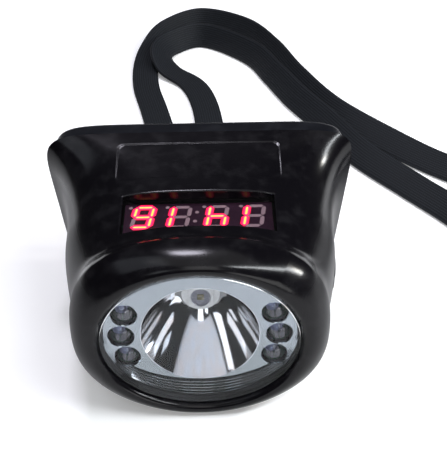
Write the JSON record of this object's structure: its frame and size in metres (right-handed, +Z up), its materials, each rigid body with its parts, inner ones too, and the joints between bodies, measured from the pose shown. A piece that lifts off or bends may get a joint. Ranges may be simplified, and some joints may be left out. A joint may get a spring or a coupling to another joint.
{
  "type": "miner's cap lamp",
  "caption": "Cordless miner's cap lamp: flared black housing, oval reflector with signal LEDs, red clock display on top, cap clip at the back and a woven safety lanyard.",
  "frame": {"origin": "centre of the lamp's bounding box, on the flat underside that it stands on; the lanyard isn't counted", "axes": "+X to the lamp's own left with the push button on that side, -Y forward out of the lens, +Z up through the display"},
  "size_m": [0.1383, 0.2016, 0.0417],
  "materials": {
    "housing": "fine satin moulded black",
    "cover": "fine satin moulded black",
    "lens": "clear polished polycarbonate",
    "dark_plastic": "matt black",
    "seal": "matt silicone",
    "grey_seal": "matt silicone",
    "mirror": "vacuum metallised",
    "led_clear": "clear epoxy",
    "led_emitter": "phosphor and silicone dome",
    "window": "smoked red polycarbonate",
    "display": "dark display face",
    "digit_on": "lit segments",
    "digit_off": "unlit diffuser",
    "board": "solder mask",
    "white_board": "white solder mask",
    "chips": "moulded packages",
    "alloy": "extruded",
    "steel": "zinc plated",
    "spring_steel": "nickel plated",
    "battery": "shrink film",
    "foam": "foam",
    "nickel": "nickel strip",
    "button": "satin",
    "contact": "gold plated",
    "stem": "white",
    "webbing": "woven nylon"
  },
  "bodies": {
    "lamp": {"front_housing": "housing", "back_cover": "cover", "cover_seal": "grey_seal", "front_lens": "lens", "lens_seal": "seal", "lens_spacer": "mirror", "reflector": "mirror", "main_led": "led_emitter", "led_star_board": "white_board", "heat_sink": "alloy", "heat_sink_screws": "steel", "signal_leds": "led_clear", "signal_led_board": "board", "signal_board_screws": "steel", "display_window": "window", "display_module": "display", "display_lit_segments": "digit_on", "display_unlit_segments": "digit_off", "display_board": "board", "display_board_screws": "steel", "control_board": "board", "control_board_parts": "chips", "control_board_screws": "steel", "battery_pack": "battery", "battery_pad": "foam", "battery_tabs": "nickel", "button_collar": "dark_plastic", "switch_body": "chips", "switch_board": "board", "charge_contacts": "contact", "contact_seals": "seal", "cover_screws": "steel", "cap_clip": "spring_steel", "clip_screws": "steel", "lanyard_bar": "steel", "lanyard_hitch": "webbing", "lanyard_strap": "webbing"},
    "button": {"push_button": "button", "button_seal": "seal", "button_circlip": "steel", "switch_stem": "stem"}
  },
  "joints": [
    {"name": "push_button_press", "type": "slide", "parent": "lamp", "child": "button", "axis": [-1, 0, 0], "range_m": [0, 0.001], "stiffness_N_per_m": 250, "springref_m": -0.0004}
  ]
}
